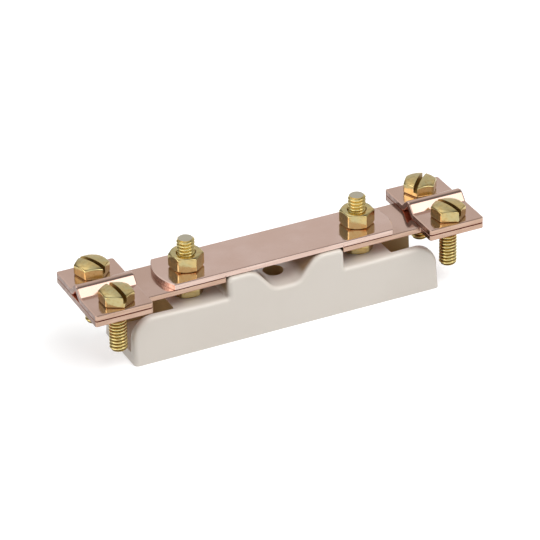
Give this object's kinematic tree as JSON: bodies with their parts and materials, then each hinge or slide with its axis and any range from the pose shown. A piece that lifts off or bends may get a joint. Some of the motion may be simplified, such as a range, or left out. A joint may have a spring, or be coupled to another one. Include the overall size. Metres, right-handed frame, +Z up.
{
  "type": "earth test link",
  "caption": "Earthing disconnection link: copper bars on brass studs over a moulded ivory base, joined by a removable copper link, with ridged screw clamps for the conductors at both ends.",
  "frame": {"origin": "middle of the base's flat mounting face", "axes": "+X along the link from the left terminal to the right one, +Y to the back, +Z up through the studs"},
  "size_m": [0.15, 0.0346, 0.0378],
  "materials": {
    "insulator": "smooth satin moulding, ivory",
    "copper": "bright drawn copper",
    "brass": "bright turned brass"
  },
  "bodies": {
    "root": {"base": "insulator", "left_bar": "copper", "right_bar": "copper", "link_bar": "copper", "left_clamp_plate": "copper", "right_clamp_plate": "copper", "left_front_screw": "brass", "left_rear_screw": "brass", "right_front_screw": "brass", "right_rear_screw": "brass", "left_stud": "brass", "right_stud": "brass", "left_seat_nut": "brass", "right_seat_nut": "brass", "left_link_nut": "brass", "right_link_nut": "brass"}
  },
  "joints": []
}
